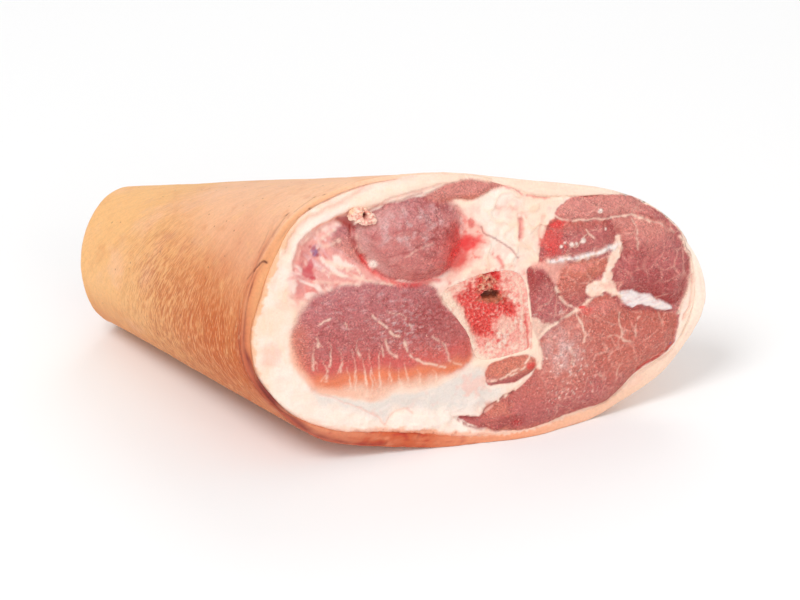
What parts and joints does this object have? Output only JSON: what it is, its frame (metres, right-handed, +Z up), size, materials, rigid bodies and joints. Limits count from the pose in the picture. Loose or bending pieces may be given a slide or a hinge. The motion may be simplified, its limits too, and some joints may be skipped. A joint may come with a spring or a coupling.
{
  "type": "pork knuckle",
  "caption": "Raw pork knuckle with its rind on, tapering from a slanted cut through meat, fat and bone to a narrow squared-off end, lying on its side.",
  "frame": {"origin": "centre of the bounding box's base, where the underside rests on the table", "axes": "+X along the limb from its thin end to its thick cut end, -Y the side that the cut faces, +Z up"},
  "size_m": [0.2372, 0.1412, 0.1072],
  "materials": {
    "flesh": "raw pork: peach rind, cream fat and pink to red muscle, moist",
    "bone": "sawn bone, pale rim with red spongy marrow"
  },
  "bodies": {
    "root": {"flesh": "flesh", "bone": "bone"}
  },
  "joints": []
}
